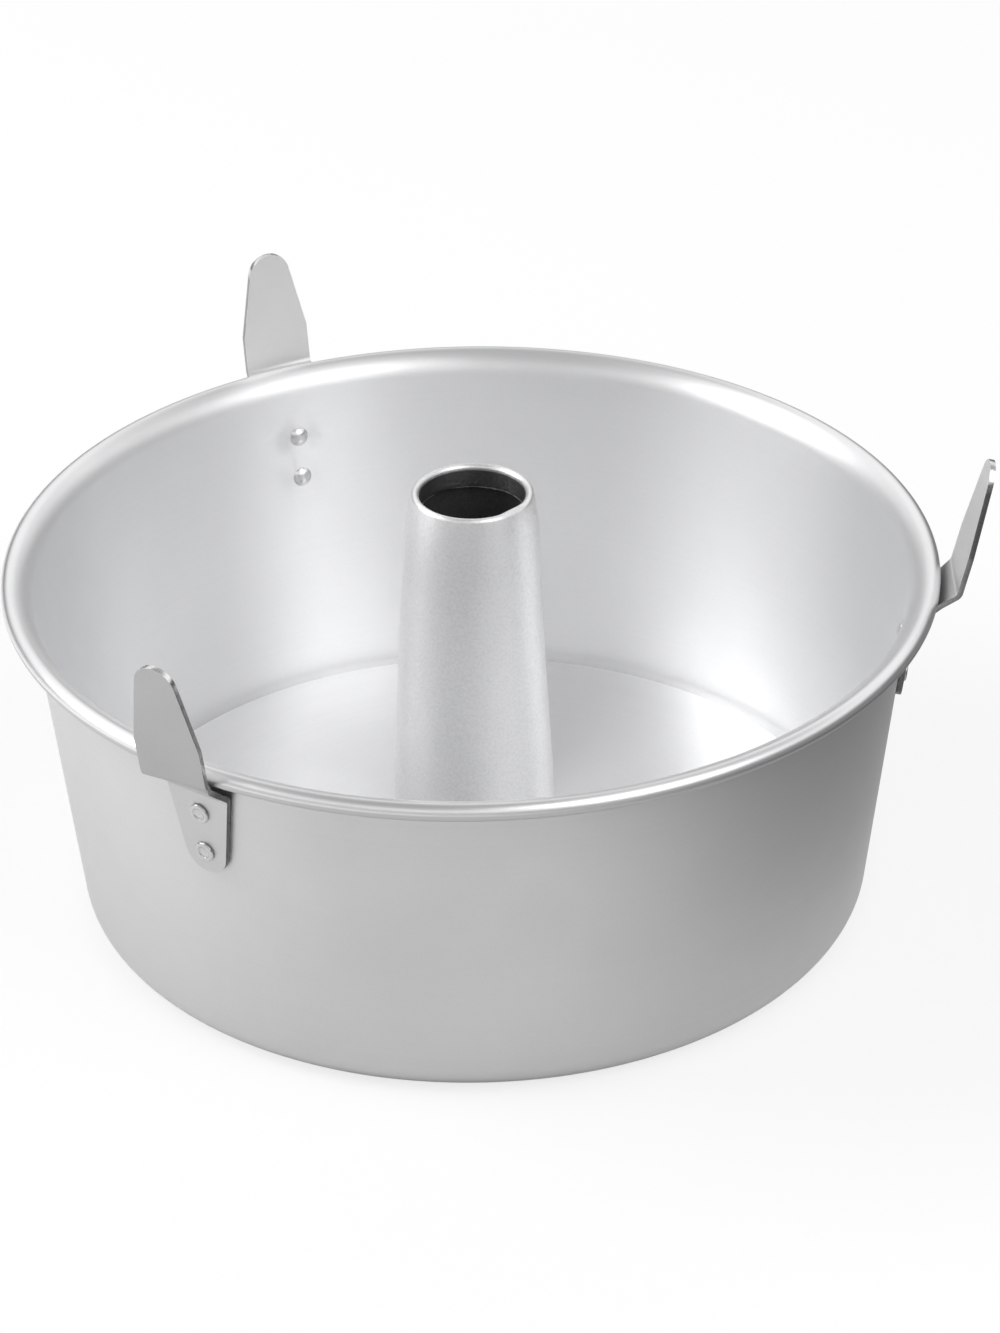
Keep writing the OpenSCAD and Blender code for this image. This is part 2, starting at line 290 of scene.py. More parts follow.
def buildPressGroup(turns, levels, reach):
    # 1 at each rivet, falling to 0 at the edge of the spot that its setting pressed into the wall
    group = bpy.data.node_groups.new("pressedSpots", "ShaderNodeTree")
    start, end = groupSockets(group, (("Point", "Vector", None),), (("Press", "Float"),))
    total = 0.0
    for turn in turns:
        swing = put(group, "ShaderNodeVectorRotate", (-1000, turn), rotation_type="Z_AXIS")
        swing.inputs["Angle"].default_value = -math.radians(turn)
        wire(group, start.outputs["Point"], swing.inputs["Vector"])
        parts = put(group, "ShaderNodeSeparateXYZ", (-800, turn))
        wire(group, swing.outputs["Vector"], parts.inputs[0])
        front = sums(group, (-600, turn + 60), "GREATER_THAN", parts.outputs["X"], 0.0)
        for height, weight in levels:
            spot = put(group, "ShaderNodeCombineXYZ", (-450, turn))
            wire(group, parts.outputs["Y"], spot.inputs["X"])
            wire(group, sums(group, (-600, turn), "SUBTRACT", parts.outputs["Z"], height), spot.inputs["Y"])
            far = put(group, "ShaderNodeVectorMath", (-250, turn), operation="LENGTH")
            wire(group, spot.outputs["Vector"], far.inputs[0])
            dip = spread(group, (0, turn), far.outputs["Value"], 0.0, reach, weight, 0.0, "SMOOTHERSTEP")
            total = sums(group, (300, turn), "ADD", total, sums(group, (150, turn), "MULTIPLY", dip, front))
    wire(group, total, end.inputs["Press"])
    return group


def buildShadeAndBurnishGroup(name, bands):
    # bands of painted shade or of burnish (a smoother roughness): what each does and how much, its radii,
    # its heights and its soft edge, in mm
    group = bpy.data.node_groups.new(name, "ShaderNodeTree")
    start, end = groupSockets(group, (("Point", "Vector", None),),
                              (("Shade", "Float"), ("Burnish", "Float")))
    parts = put(group, "ShaderNodeSeparateXYZ", (-1000, 0))
    wire(group, start.outputs["Point"], parts.inputs[0])
    flat = put(group, "ShaderNodeCombineXYZ", (-850, 100))
    wire(group, parts.outputs["X"], flat.inputs["X"])
    wire(group, parts.outputs["Y"], flat.inputs["Y"])
    away = put(group, "ShaderNodeVectorMath", (-700, 100), operation="LENGTH")
    wire(group, flat.outputs["Vector"], away.inputs[0])
    totals = {"Shade": 0.0, "Burnish": 0.0}
    for row, (kind, amount, radii, heights, soft) in enumerate(bands):
        y = -300 * row
        mask = amount
        for value, (low, high) in ((away.outputs["Value"], radii), (parts.outputs["Z"], heights)):
            before, past = (low - soft) * mm, (high + soft) * mm
            rise = spread(group, (-450, y), value, before, low * mm, 0.0, 1.0, "SMOOTHSTEP")
            fall = spread(group, (-450, y - 100), value, high * mm, past, 1.0, 0.0, "SMOOTHSTEP")
            mask = sums(group, (0, y), "MULTIPLY", mask, sums(group, (-200, y), "MULTIPLY", rise, fall))
        totals[kind] = sums(group, (250, y), "ADD", totals[kind], mask)
    for kind, total in totals.items():
        if isinstance(total, float):
            total = sums(group, (250, 300), "ADD", total, 0.0)
        wire(group, total, end.inputs[kind])
    return group


def makeFinish(name, turned=0.0, press=None, shadeAndBurnish=None, **values):
    # turned is how far the rings stretch a highlight; press is a group of pressed spots, and the next
    # argument a group of bands of painted shade and burnish
    material = bpy.data.materials.new(name)
    material.use_nodes = True
    tree = material.node_tree
    shader = tree.nodes["Principled BSDF"]
    shader.inputs["Metallic"].default_value = 1.0
    place = put(tree, "ShaderNodeTexCoord", (-900, 0))
    look = put(tree, "ShaderNodeGroup", (-400, 0), node_tree=sheetGroup)
    for key, value in values.items():
        look.inputs[key.replace("_", " ")].default_value = value
    wire(tree, place.outputs["Object"], look.inputs["Point"])
    for result, socket in (("Color", "Base Color"), ("Roughness", "Roughness"), ("Normal", "Normal")):
        wire(tree, look.outputs[result], shader.inputs[socket])
    if press:
        spots = put(tree, "ShaderNodeGroup", (-650, -150), node_tree=press)
        wire(tree, place.outputs["Object"], spots.inputs["Point"])
        wire(tree, spots.outputs["Press"], look.inputs["Press"])
    if shadeAndBurnish:
        bands = put(tree, "ShaderNodeGroup", (-650, 150), node_tree=shadeAndBurnish)
        wire(tree, place.outputs["Object"], bands.inputs["Point"])
        for bandKind in ("Shade", "Burnish"):
            wire(tree, bands.outputs[bandKind], look.inputs[bandKind])
    if turned:
        tangent = put(tree, "ShaderNodeTangent", (-400, -400), direction_type="RADIAL", axis="Z")
        shader.inputs["Anisotropic"].default_value = turned
        shader.inputs["Anisotropic Rotation"].default_value = 0.25
        wire(tree, tangent.outputs["Tangent"], shader.inputs["Tangent"])
    return material


sheetGroup = buildSheetGroup()


# modelling helpers

def unit(degrees):
    a = math.radians(degrees)
    return Vector((math.cos(a), math.sin(a)))


def arc(center, radius, start, end, steps):
    return [Vector(center) + radius * unit(start + (end - start) * i / steps) for i in range(steps + 1)]


def between(p, q, steps):
    # the points that divide the way from p to q, without p and q
    return [p.lerp(q, i / steps) for i in range(1, steps)]


def meet(p, a, q, b):
    # where the line through p at angle a crosses the line through q at angle b
    u, v, d = unit(a), unit(b), Vector(q) - Vector(p)
    return Vector(p) + u * ((d.x * v.y - d.y * v.x) / (u.x * v.y - u.y * v.x))


def startEdge(name, first):
    # a single vertex at the profile's first point, ready to be extruded
    bpy.ops.object.select_all(action="DESELECT")
    bpy.ops.mesh.primitive_plane_add(size=0.001, location=(first.x * mm, 0, first.y * mm))
    piece = bpy.context.object
    piece.name = piece.data.name = name
    bpy.ops.object.transform_apply(location=True, rotation=True, scale=True)
    bpy.ops.object.mode_set(mode="EDIT")
    bpy.ops.mesh.select_all(action="SELECT")
    bpy.ops.mesh.merge(type="CENTER")
    return piece


def drawProfile(name, points):
    # profile in the XZ plane: x is the radius, y the height, in millimetres
    piece = startEdge(name, points[0])
    for here, there in zip(points, points[1:]):
        step = (there - here) * mm
        bpy.ops.mesh.extrude_region_move(TRANSFORM_OT_translate={"value": (step.x, 0, step.y)})
    return piece


def spinProfile(piece, steps):
    bpy.ops.mesh.select_all(action="SELECT")
    bpy.ops.mesh.spin(steps=steps, angle=math.tau, center=(0, 0, 0), axis=(0, 0, 1))
    bpy.ops.mesh.select_all(action="SELECT")
    bpy.ops.mesh.remove_doubles(threshold=2e-6)
    bpy.ops.mesh.normals_make_consistent(inside=False)
    bpy.ops.object.mode_set(mode="OBJECT")


# a piece's finishes in slot order: the drawn face has the first, then come these
farFace, cutEdge, roundEdge = 1, 2, 3


def thicken(piece, thickness, far=0, rim=0):
    # the drawn face stays; far and rim are the slots of the new face and of the cut edges
    wall = piece.modifiers.new("sheet", "SOLIDIFY")
    wall.thickness, wall.offset = thickness * mm, -1.0
    wall.use_even_offset, wall.use_quality_normals = True, True
    wall.material_offset, wall.material_offset_rim = far, rim
    bpy.ops.object.modifier_apply(modifier=wall.name)


def softenEdges(piece, width, segments, limit, slot=-1):
    # rounds every edge sharper than the limit in degrees
    bevel = piece.modifiers.new("edges", "BEVEL")
    bevel.material = slot
    bevel.width, bevel.segments = width * mm, segments
    bevel.limit_method, bevel.angle_limit = "ANGLE", math.radians(limit)
    bevel.use_clamp_overlap = True
    bpy.ops.object.modifier_apply(modifier=bevel.name)


def giveFinishes(piece, *finishes):
    for finish in finishes:
        piece.data.materials.append(finish)


def pick(piece, choose):
    # goes into edit mode with only the chosen points selected
    bpy.ops.object.mode_set(mode="EDIT")
    bpy.ops.mesh.select_all(action="DESELECT")
    mesh = bmesh.from_edit_mesh(piece.data)
    for v in choose(mesh.verts):
        v.select = True
    mesh.select_flush_mode()
    bmesh.update_edit_mesh(piece.data)


def drag(shift, reach):
    # moves what is selected, and less and less of the sheet within reach of it
    bpy.ops.transform.translate(value=shift, use_proportional_edit=True, proportional_edit_falloff="SMOOTH",
                                proportional_size=reach, use_proportional_connected=True)
    bpy.ops.object.mode_set(mode="OBJECT")


def nudge(piece, near, shift, reach):
    pick(piece, lambda verts: [min(verts, key=lambda v: (v.co - Vector(near)).length)])
    drag(shift, reach)


def above(height):
    # a choice for pick
    return lambda verts: [v for v in verts if v.co.z > height]


def dress(piece, body, nodes, smooth=35):
    bpy.ops.object.select_all(action="DESELECT")
    piece.select_set(True)
    bpy.context.view_layer.objects.active = piece
    bpy.ops.object.shade_smooth_by_angle(angle=math.radians(smooth))
    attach(piece, body)
    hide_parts(*nodes)


def checkFacing(piece, point, outward):
    # a face's normal near a known point must agree with the known outward direction
    polygon = min(piece.data.polygons, key=lambda p: (p.center - Vector(point)).length)
    if polygon.normal.dot(Vector(outward)) < 0:
        bpy.ops.object.mode_set(mode="EDIT")
        bpy.ops.mesh.select_all(action="SELECT")
        bpy.ops.mesh.flip_normals()
        bpy.ops.object.mode_set(mode="OBJECT")


# pan shell

shell = {
    "mouth": 254.0, "height": 107.7, "sheet": 1.0, "wallLean": 6.8, "corner": 9.5, "lip": 8.0,
    "rimDepth": 6.5, "rimOut": 9.13, "curl": 2.6, "curlUnder": 25, "edgeRound": 0.25,
    "turns": 240, "cornerSteps": 14, "sideSteps": 12, "flareSteps": 14, "curlSteps": 22,
}
wallTop = shell["height"] - shell["rimDepth"]


def wallIn(z):
    return shell["mouth"] / 2 - (wallTop - z) * math.tan(math.radians(shell["wallLean"]))


def wallOut(z):
    return wallIn(z) + shell["sheet"] / math.cos(math.radians(shell["wallLean"]))


cornerAcross = shell["corner"] / math.cos(math.radians(shell["wallLean"]))
cornerCenter = Vector((wallOut(shell["corner"]) - cornerAcross, shell["corner"]))
curlCenter = Vector((shell["mouth"] / 2 + shell["rimOut"] - shell["curl"], shell["height"] - shell["curl"]))
wallNormal = 180 - shell["wallLean"]
flareFrom = Vector((shell["mouth"] / 2, wallTop)) - curlCenter
flareReach = flareFrom.dot(unit(wallNormal)) - shell["curl"]
flareRadius = (flareFrom.dot(flareFrom) - shell["curl"] ** 2) / (2 * flareReach)
flareCenter = curlCenter + flareFrom - flareRadius * unit(wallNormal)
flareEnd = math.degrees(math.atan2(curlCenter.y - flareCenter.y, curlCenter.x - flareCenter.x))


def buildShell(s):
    t = s["sheet"]
    points = [Vector((cornerCenter.x - s["lip"], t)), Vector((cornerCenter.x - s["lip"] / 2, t))]
    points += arc(cornerCenter, s["corner"] - t, -90, -s["wallLean"], s["cornerSteps"])
    rim = arc(flareCenter, flareRadius, wallNormal, flareEnd, s["flareSteps"])
    points += between(points[-1], rim[0], s["sideSteps"]) + rim
    points += arc(curlCenter, s["curl"], flareEnd, -90 - s["curlUnder"], s["curlSteps"])[1:]
    piece = drawProfile("panShell", points)
    spinProfile(piece, s["turns"])
    checkFacing(piece, (wallIn(60) * mm, 0, 0.06), (-1, 0, 0))
    giveFinishes(piece, *shellFinishes)
    thicken(piece, t, far=farFace)
    softenEdges(piece, s["edgeRound"], 2, 60)
    dress(piece, "pan", ["pan_shell"])
    return piece


# loose base

base = {
    "sheet": 1.0, "rise": 3.2, "edge": 3.0, "skirt": 0.5, "gap": 0.3,
    "turns": 240, "flatSteps": 10, "edgeSteps": 12,
}
edgeZ = shell["sheet"] + base["rise"]
seat = shell["corner"] - shell["sheet"] - base["gap"]
baseRadius = cornerCenter.x + math.sqrt(seat ** 2 - (shell["corner"] - edgeZ) ** 2)
baseTop = edgeZ + base["skirt"] + base["edge"]


# centre tube

tube = {
    "sheet": 0.9, "above": 22.2, "bore": 30.9, "roll": 1.2, "hem": 6.0, "lean": 2.97,
    "neckHeight": 15.0, "neckRadius": 115.0, "bead": 1.5, "flange": 5.0, "gap": 0.05, "turns": 160,
    "waves": 9, "wave": 0.5, "waveReach": 5.0, "waveStray": 0.3, "strayStep": 5, "waveStep": 2.4,
    "waveStart": 1,
    "pinchTurn": -40, "pinch": 0.9, "pinchReach": 6.0, "pinchBelow": 0.5, "pinchSink": 0.2,
    "mouthShift": 0.9, "mouthReach": 45.0, "cutRound": 0.15,
    "beadSteps": 12, "wallSteps": 10, "neckSteps": 8, "rollSteps": 18, "hemSteps": 4,
}
rollCenter = Vector((tube["bore"] / 2 + tube["roll"], shell["height"] + tube["above"] - tube["roll"]))
hemEnd = rollCenter.y - tube["hem"]
neckEnd = tube["lean"] + math.degrees(tube["neckHeight"] / tube["neckRadius"])
neckCenter = rollCenter - (tube["neckRadius"] - tube["roll"]) * unit(neckEnd)
neckFrom = neckCenter + tube["neckRadius"] * unit(tube["lean"])
beadTop = baseTop + 2 * tube["bead"]
spigot = neckFrom.x + (neckFrom.y - beadTop) * math.tan(math.radians(tube["lean"]))


def buildBase(s):
    edgeCenter = Vector((baseRadius - s["edge"], baseTop - s["edge"]))
    hole = Vector((spigot + tube["gap"], baseTop))
    flatEnd = Vector((edgeCenter.x, baseTop))
    points = [hole] + between(hole, flatEnd, s["flatSteps"])
    points += arc(edgeCenter, s["edge"], 90, 0, s["edgeSteps"]) + [Vector((baseRadius, edgeZ))]
    piece = drawProfile("basePlate", points)
    spinProfile(piece, s["turns"])
    checkFacing(piece, (0.07, 0, baseTop * mm), (0, 0, 1))
    giveFinishes(piece, baseFinish)
    thicken(piece, s["sheet"])
    dress(piece, "insert", ["base_plate"])
    return piece


def buildTube(s):
    under = baseTop - base["sheet"]
    points = [Vector((spigot + s["flange"], under)), Vector((spigot, under))]
    points += arc((spigot, baseTop + s["bead"]), s["bead"], -90, 90, s["beadSteps"])
    points += between(points[-1], neckFrom, s["wallSteps"])
    points += arc(neckCenter, s["neckRadius"], s["lean"], neckEnd, s["neckSteps"])
    points += arc(rollCenter, s["roll"], neckEnd, 180, s["rollSteps"])[1:]
    rows = range(1, s["hemSteps"] + 1)
    points += [Vector((s["bore"] / 2, rollCenter.y - s["hem"] * i / s["hemSteps"])) for i in rows]
    piece = drawProfile("centreTube", points)
    spinProfile(piece, s["turns"])
    checkFacing(piece, (neckFrom.x * mm, 0, 0.06), (1, 0, 0))
    # the hem was folded in by hand: its cut edge wanders and its roll is pinched at one place
    for i in range(s["waves"]):
        turn = math.tau * (i + s["waveStray"] * math.sin(s["strayStep"] * i)) / s["waves"]
        at = Vector((math.cos(turn), math.sin(turn), 0)) * s["bore"] / 2 + Vector((0, 0, hemEnd))
        lift = s["wave"] * math.sin(s["waveStep"] * i + s["waveStart"])
        nudge(piece, at * mm, (0, 0, lift * mm), s["waveReach"] * mm)
    turn = math.radians(s["pinchTurn"])
    height = rollCenter.y - s["pinchBelow"]
    at = Vector((math.cos(turn), math.sin(turn), 0)) * s["bore"] / 2 + Vector((0, 0, height))
    inward = Vector((-math.cos(turn), -math.sin(turn), -s["pinchSink"])) * s["pinch"]
    nudge(piece, at * mm, inward * mm, s["pinchReach"] * mm)
    # the whole mouth stands a little to the right
    pick(piece, above(rollCenter.y * mm))
    drag((s["mouthShift"] * mm, 0, 0), s["mouthReach"] * mm)
    giveFinishes(piece, *tubeFinishes)
    thicken(piece, s["sheet"], far=farFace, rim=cutEdge)
    softenEdges(piece, s["cutRound"], 2, 60, slot=cutEdge)
    dress(piece, "insert", ["centre_tube"])
    return piece


# cooling legs

leg = {
    "strip": 1.6, "width": 21.0, "above": 35.7, "below": 40.7, "tip": 6.5, "pad": 7.0, "shoulder": 3.0,
    "shoulderAbove": 9.5, "webRise": 40.0, "bend": 2.0, "underGap": 0.9, "sideGap": 3.4, "padGap": 0.05,
    "round": 0.62,
    # the mesh: columns, steps in a bend, degrees in an outline step, and how its rows lie
    "columns": 8, "bendSteps": 8, "outlineStep": 9, "rowEnd": 0.03, "rowLeast": 0.12, "rowMost": 4,
    "narrowest": 0.2,
    "places": {"right": (0.0, 13.5), "back": (119.8, 3.0), "front": (238.9, 9.0)},
    # how each blade was left by hand: turned and tilted in degrees, and moved sideways in mm
    "set": {"right": (5.0, 0.0, 0.0), "back": (0.0, 2.5, -0.1), "front": (5.0, -2.1, 1.9)},
    "setHeight": 2.0,
}
padDir = 90 - shell["wallLean"]
padZ = shell["height"] - leg["below"]
tipZ = shell["height"] + leg["above"]
padFrom = Vector((wallOut(padZ) + leg["padGap"] / math.cos(math.radians(shell["wallLean"])), padZ))
webBy = curlCenter + (shell["curl"] + leg["underGap"]) * unit(leg["webRise"] - 90)
lowerBend = meet(padFrom, padDir, webBy, leg["webRise"])


def bendCenter(p, a, b, radius):
    # the centre of the bend that turns a line through p from angle a to angle b
    back = radius * math.tan(math.radians(abs(b - a) / 2))
    return p - back * unit(a) + radius * unit(a + math.copysign(90, b - a))


def outline(rounds):
    # right half of a belt drawn round circles (x, y, radius), from the lowest to the highest
    normals = [-90.0]
    for p, q in zip(rounds, rounds[1:]):
        dx, dy = q[0] - p[0], q[1] - p[1]
        narrowing = math.asin((p[2] - q[2]) / math.hypot(dx, dy))
        normals.append(math.degrees(math.atan2(dy, dx)) - 90 + math.degrees(narrowing))
    normals.append(90.0)
    points = []
    for (x, y, radius), a, b in zip(rounds, normals, normals[1:]):
        points += arc((x, y), radius, a, b, max(2, int(abs(b - a) / leg["outlineStep"])))
    return points


def along(points, height):
    # the x of a rising polyline at a height
    for p, q in zip(points, points[1:]):
        if p.y <= height <= q.y and q.y > p.y:
            return p.x + (q.x - p.x) * (height - p.y) / (q.y - p.y)
    return points[0].x if height < points[0].y else points[-1].x


def setBlade(piece, handSet, bend, height):
    # the blade, from a little below its bend upwards, is turned, tilted and moved as one
    turn, tilt, shift = handSet
    center = (bend.x * mm, 0, bend.y * mm)
    pick(piece, above((bend.y - height) * mm))
    bpy.ops.transform.rotate(value=-math.radians(turn), orient_axis="Z", center_override=center)
    bpy.ops.transform.rotate(value=math.radians(tilt), orient_axis="X", center_override=center)
    bpy.ops.transform.translate(value=(0, shift * mm, 0))
    bpy.ops.object.mode_set(mode="OBJECT")


def legRows(s, heights):
    # the heights of the mesh's rows: every bend and outline point, without slivers or wide steps
    bottom, top = padZ + s["rowEnd"], tipZ - s["rowEnd"]
    heights = sorted({round(z, 3) for z in heights if bottom < z < top} | {bottom, top})
    rows = [heights[0]]
    for z in heights[1:]:
        gap = z - rows[-1]
        if gap < s["rowLeast"]:
            continue
        extra = int(gap // s["rowMost"])
        rows += [rows[-1] + gap * (i + 1) / (extra + 1) for i in range(extra)] + [z]
    rows[-1] = heights[-1]
    return rows


def buildLeg(name, side, turn, lean, s):
    # the side profile first: pad, web and blade along the face towards the pan
    bladeDir = 90 - lean
    bladeBy = curlCenter + (shell["curl"] + s["sideGap"]) * unit(bladeDir - 90)
    upperBend = meet(webBy, s["webRise"], bladeBy, bladeDir)
    outer = s["bend"] + s["strip"]
    lower = arc(bendCenter(lowerBend, padDir, s["webRise"], outer), outer,
                padDir + 90, s["webRise"] + 90, s["bendSteps"])
    upper = arc(bendCenter(upperBend, s["webRise"], bladeDir, s["bend"]), s["bend"],
                s["webRise"] - 90, bladeDir - 90, s["bendSteps"])
    head = upper[-1] + unit(bladeDir) * ((tipZ - upper[-1].y) / math.sin(math.radians(bladeDir)))
    bent = [padFrom] + lower + upper + [head]
    sideX = s["width"] / 2 - s["shoulder"]
    shoulderZ = shell["height"] + s["shoulderAbove"]
    edge = outline([(0, padZ + s["pad"], s["pad"]), (sideX, lowerBend.y, s["shoulder"]),
                    (sideX, shoulderZ, s["shoulder"]), (0, tipZ - s["tip"], s["tip"])])
    rows = legRows(s, [p.y for p in bent + edge])
    # then the strip: the plane's lower edge is cut into columns, widened to the first row and extruded
    bpy.ops.object.select_all(action="DESELECT")
    bpy.ops.mesh.primitive_plane_add(size=2 * mm, location=(0, 0, 0), rotation=(math.pi / 2, 0, math.pi / 2))
    piece = bpy.context.object
    piece.name = piece.data.name = name
    bpy.ops.object.transform_apply(location=True, rotation=True, scale=True)
    bpy.ops.object.mode_set(mode="EDIT")
    mesh = bmesh.from_edit_mesh(piece.data)
    for v in mesh.verts:
        v.select = v.co.z > 0
    mesh.select_flush_mode()
    bpy.ops.mesh.delete(type="VERT")
    bpy.ops.mesh.select_all(action="SELECT")
    bpy.ops.mesh.subdivide(number_cuts=s["columns"] - 1)
    half = along(edge, rows[0])
    here = Vector((along(bent, rows[0]), rows[0]))
    bpy.ops.transform.resize(value=(1, half, 1))
    bpy.ops.transform.translate(value=(here.x * mm, 0, here.y * mm + mm))
    for z in rows[1:]:
        there = Vector((along(bent, z), z))
        wide = max(along(edge, z), s["narrowest"])
        step = (there - here) * mm
        bpy.ops.mesh.extrude_region_move(TRANSFORM_OT_translate={"value": (step.x, 0, step.y)})
        bpy.ops.transform.resize(value=(1, wide / half, 1))
        here, half = there, wide
    bpy.ops.object.mode_set(mode="OBJECT")
    setBlade(piece, s["set"][side], upperBend, s["setHeight"])
    checkFacing(piece, (head.x * mm, 0, (tipZ - 15) * mm), (-1, 0, 0))
    giveFinishes(piece, legInside[side], *legFinishes)
    thicken(piece, s["strip"], far=farFace, rim=cutEdge)
    softenEdges(piece, s["round"], 4, 50, slot=roundEdge)
    piece.rotation_euler = (0, 0, math.radians(turn))
    bpy.ops.object.transform_apply(location=True, rotation=True, scale=True)
    return piece


# rivets

rivet = {
    "drop": 20.2, "pitch": 13.3, "shank": 2.0, "head": 3.0, "headHeight": 1.4, "headGap": 0.05,
    "clinch": 3.1, "clinchHeight": 0.95, "dimple": 1.9, "dimpleDepth": 0.5, "dimpleRound": 0.45,
    "dimpleLip": 0.3, "turns": 48, "domeSteps": 8, "crestSteps": 10, "dimpleSteps": 5,
    # the dimple's floor, as radii and rises above its lowest ring
    "dimpleFloor": ((1.55, 0.08), (1.045, 0.0), (0.57, 0.03), (0.0, 0.05)),
    # how far the wall is pressed in round an upper and a lower rivet
    "pressReach": 9.5, "pressWeights": (1.0, 0.6),
}


def buildRivet(s):
    # drawn along +Z from the dome inside the pan to the clinch outside the leg
    domeZ = -shell["sheet"] - s["headGap"]
    domeRadius = (s["head"] ** 2 + s["headHeight"] ** 2) / (2 * s["headHeight"])
    domeCenter = (0, domeZ - s["headHeight"] + domeRadius)
    clinchZ = leg["padGap"] + leg["strip"]
    roundR = s["clinchHeight"] / 2
    crest = s["clinch"] - roundR
    domeEnd = -math.degrees(math.acos(s["head"] / domeRadius))
    points = arc(domeCenter, domeRadius, -90, domeEnd, s["domeSteps"])
    points += [Vector((s["shank"], domeZ)), Vector((s["shank"], clinchZ)), Vector((crest, clinchZ))]
    points += arc((crest, clinchZ + roundR), roundR, -90, 90, s["crestSteps"])[1:]
    topZ = clinchZ + s["clinchHeight"]
    floorZ = topZ - s["dimpleDepth"]
    lipCenter = (s["dimple"] + s["dimpleLip"], topZ - s["dimpleRound"])
    points += arc(lipCenter, s["dimpleRound"], 90, 150, s["dimpleSteps"])
    points += [Vector((radius, floorZ + rise)) for radius, rise in s["dimpleFloor"]]
    piece = drawProfile("rivetPattern", points)
    spinProfile(piece, s["turns"])
    return piece


# the parts, finished and in their places

rivetHeights = {"Upper": shell["height"] - rivet["drop"]}
rivetHeights["Lower"] = rivetHeights["Upper"] - rivet["pitch"]
shadeAndBurnishBands = {
    # what, how much, radii, heights and soft edge in mm
    "shell": buildShadeAndBurnishGroup("shellShadeAndBurnish", (
        ("Burnish", 0.4, (132.3, 140.0), (101.0, 108.0), 1.0),
        # painted shade under the rim: darkens the curl's outer underside in place of the dark it would
        # reflect
        ("Shade", 0.38, (134.9, 140.0), (100.0, 105.0), 0.6),
        # painted shade in the crease between the loose base and the wall
        ("Shade", 0.16, (baseRadius - 1, baseRadius + 0.6), (2.0, baseTop - 1.0), 1.8),
    )),
    "base": buildShadeAndBurnishGroup("basePaintedShade", (
        # painted shade in the crease round the base's edge
        ("Shade", 0.12, (baseRadius - 0.8, baseRadius + 3), (0.0, baseTop + 1), 1.0),
    )),
    "tube": buildShadeAndBurnishGroup("tubePaintedShade", (
        # painted shade inside the hem; its lowest half millimetre is left out of it, so the hem's edge shows
        # as a light line
        ("Shade", 0.84, (0.0, 16.5), (hemEnd + 0.5, rollCenter.y - 0.5), 0.35),
    )),
    "legInside": buildShadeAndBurnishGroup("legInsidePaintedShade", (
        # painted shade on the web and its bend under the rim, in place of their bright reflection
        ("Shade", 0.4, (125.0, 150.0), (90.0, 105.3), 0.7),
    )),
    "legOutside": buildShadeAndBurnishGroup("legOutsidePaintedShade", (
        # painted shade on the blade above the rim, so that the pad below looks lighter
        ("Shade", 0.24, (125.0, 155.0), (103.5, 150.0), 1.6),
    )),
    "legCut": buildShadeAndBurnishGroup("legCutPaintedShade", (
        # painted shade on the cut edges below the tip, so only the top edge looks bright; the second band
        # darkens them more along the pad, like the shadow of the gap beside it
        ("Shade", 0.62, (120.0, 155.0), (60.0, 136.0), 3.0),
        ("Shade", 0.22, (120.0, 155.0), (60.0, 99.0), 3.0),
    )),
    "rivet": buildShadeAndBurnishGroup("rivetPaintedShade", (
        # painted shade on the clinched ends outside the legs; the domed heads inside keep the plain tone
        ("Shade", 0.22, (126.2, 150.0), (60.0, 110.0), 0.4),
    )),
    "legRounded": buildShadeAndBurnishGroup("legRoundedPaintedShade", (
        # painted shade on the rounded edges below the tip, so their top stays brightest
        ("Shade", 0.12, (120.0, 155.0), (60.0, 136.0), 3.0),
    )),
}
spots = buildPressGroup([turn for turn, lean in leg["places"].values()],
                        [(z * mm, w) for z, w in zip(rivetHeights.values(), rivet["pressWeights"])],
                        rivet["pressReach"] * mm)
shellFinishes = (
    makeFinish("shellInside", 0.7, spots, shadeAndBurnishBands["shell"],
               Light_tone=grey(0.88, 0.008), Dark_tone=grey(0.84, 0.01), Press_depth=-0.0005),
    # painted shade: the outside takes a darker tone than the inside, for the lesser light on the outer wall
    makeFinish("shellOutside", 0.6, None, shadeAndBurnishBands["shell"], Light_tone=grey(0.69), Dark_tone=grey(0.66),
               Grain_depth=0.000008),
)
baseFinish = makeFinish("baseSatin", 0.7, None, shadeAndBurnishBands["base"], Ring_amount=0.4)
tubeFinishes = (
    makeFinish("tubeGrainy", 0.7, None, shadeAndBurnishBands["tube"], Light_tone=grey(0.98), Dark_tone=grey(0.88, 0.01),
               Grain_size=1150.0, Grain_depth=0.00008, Grain_share=0.8, Ring_amount=0.05,
               Smooth=0.36, Rough=0.5),
    # painted shade: the bore's face takes dark tones so that the inside of the tube looks shadowed
    makeFinish("tubeInsidePaintedShade", 0.0, Light_tone=grey(0.34), Dark_tone=grey(0.15, 0.01), Grain_depth=0.00006,
               Smooth=0.5, Rough=0.65, Cloud_size=260.0),
    makeFinish("tubeCut", 0.0, Light_tone=grey(0.72), Dark_tone=grey(0.4), Smooth=0.3, Rough=0.5,
               Cloud_size=300.0),
)
litAndShadedLegFaces = {
    # each leg's inner face: light tone, dark tone, smoothest and roughest; the tones are painted light and
    # shade, lightest on the back leg and darkest on the right one
    "right": (0.82, 0.76, 0.46, 0.56), "back": (0.98, 0.94, 0.62, 0.7), "front": (0.9, 0.86, 0.48, 0.56),
}
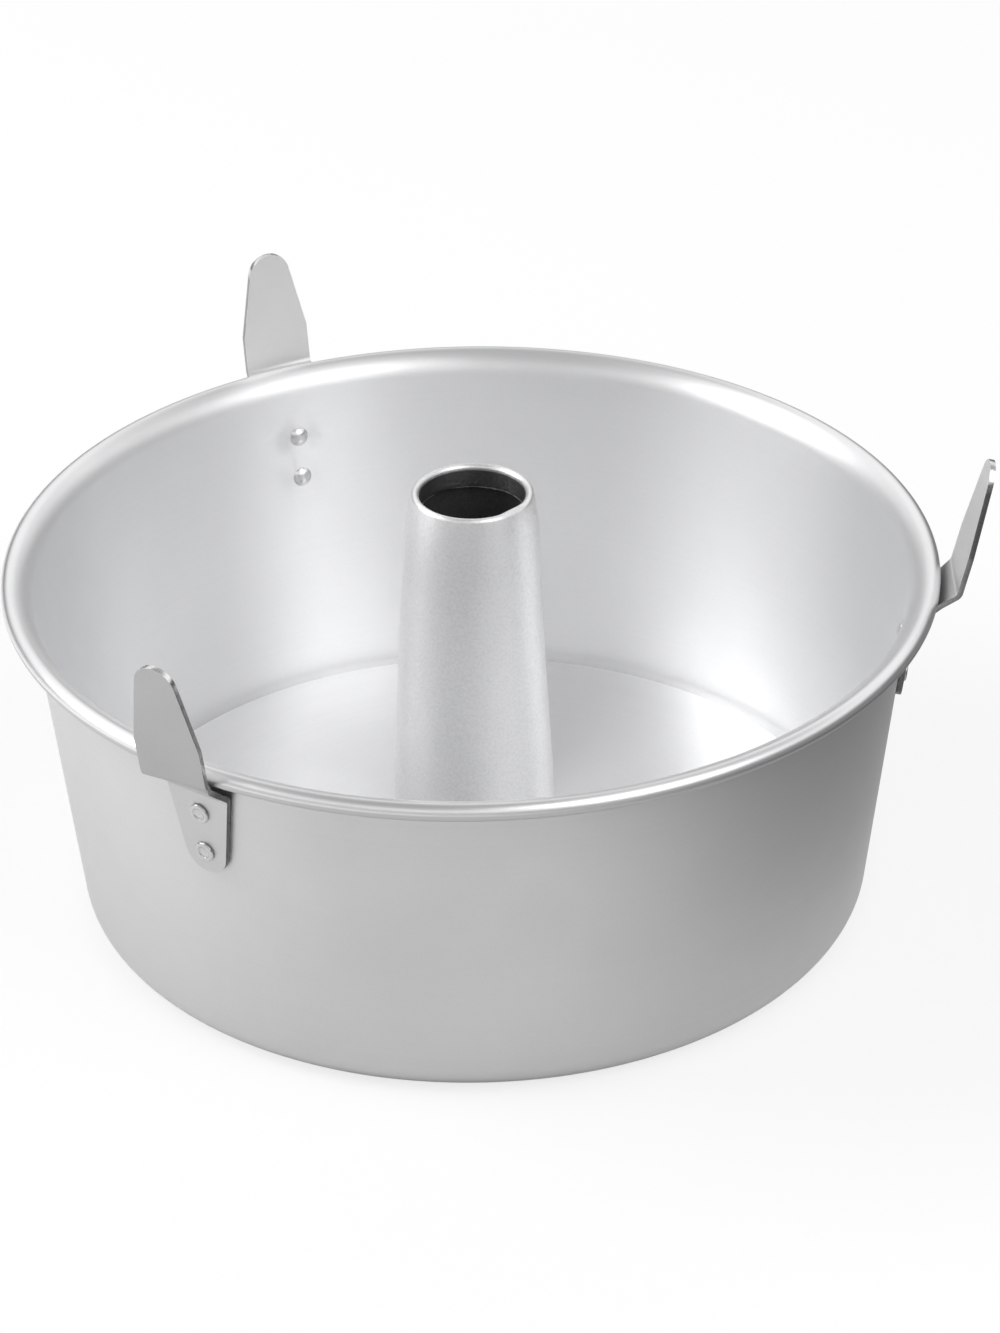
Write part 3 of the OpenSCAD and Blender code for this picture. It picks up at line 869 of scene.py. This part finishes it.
# lit and shaded copies of one finish, one for each leg
legInside = {
    side: makeFinish("legInside_" + side, 0.0, None, shadeAndBurnishBands["legInside"],
                     Light_tone=grey(light), Dark_tone=grey(dark), Smooth=smooth, Rough=rough)
    for side, (light, dark, smooth, rough) in litAndShadedLegFaces.items()
}
legFinishes = (
    # painted shade: the outer faces take a darker tone than the inner ones
    makeFinish("legOutside", 0.0, None, shadeAndBurnishBands["legOutside"], Light_tone=grey(0.62), Dark_tone=grey(0.58),
               Ring_amount=0.1),
    makeFinish("legCut", 0.0, None, shadeAndBurnishBands["legCut"], Light_tone=grey(0.92), Dark_tone=grey(0.62),
               Grain_depth=0.00002, Cloud_size=160.0, Smooth=0.2, Rough=0.32),
    makeFinish("legRounded", 0.0, None, shadeAndBurnishBands["legRounded"], Light_tone=grey(0.95), Dark_tone=grey(0.75),
               Smooth=0.18, Rough=0.3, Cloud_size=160.0),
)
rivetFinish = makeFinish("rivetBright", 0.0, None, shadeAndBurnishBands["rivet"], Light_tone=grey(0.8), Dark_tone=grey(0.7),
                         Smooth=0.24, Rough=0.36, Cloud_size=300.0)
print("finishes ready")

panShell = buildShell(shell)
print("pan shell:", len(panShell.data.polygons), "faces")
basePlate = buildBase(base)
centreTube = buildTube(tube)
print("insert: base", len(basePlate.data.polygons), "and tube", len(centreTube.data.polygons), "faces")

for side, (turn, lean) in leg["places"].items():
    piece = buildLeg(side + "Leg", side, turn, lean, leg)
    dress(piece, "pan", ["leg_" + side], smooth=40)
    print(side, "leg:", len(piece.data.polygons), "faces")

pattern = buildRivet(rivet)
giveFinishes(pattern, rivetFinish)
laid = Matrix.Rotation(math.radians(90 + shell["wallLean"]), 4, "Y")
for side, (turn, lean) in leg["places"].items():
    around = Matrix.Rotation(math.radians(turn), 4, "Z")
    for level, z in rivetHeights.items():
        bpy.ops.object.select_all(action="DESELECT")
        pattern.select_set(True)
        bpy.context.view_layer.objects.active = pattern
        bpy.ops.object.duplicate()
        piece = bpy.context.object
        piece.name = piece.data.name = side + level + "Rivet"
        piece.matrix_world = around @ Matrix.Translation((wallOut(z) * mm, 0, z * mm)) @ laid
        bpy.ops.object.transform_apply(location=True, rotation=True, scale=True)
        dress(piece, "pan", ["rivet_" + side + "_" + level.lower()])
bpy.data.objects.remove(pattern)
print("rivets placed")
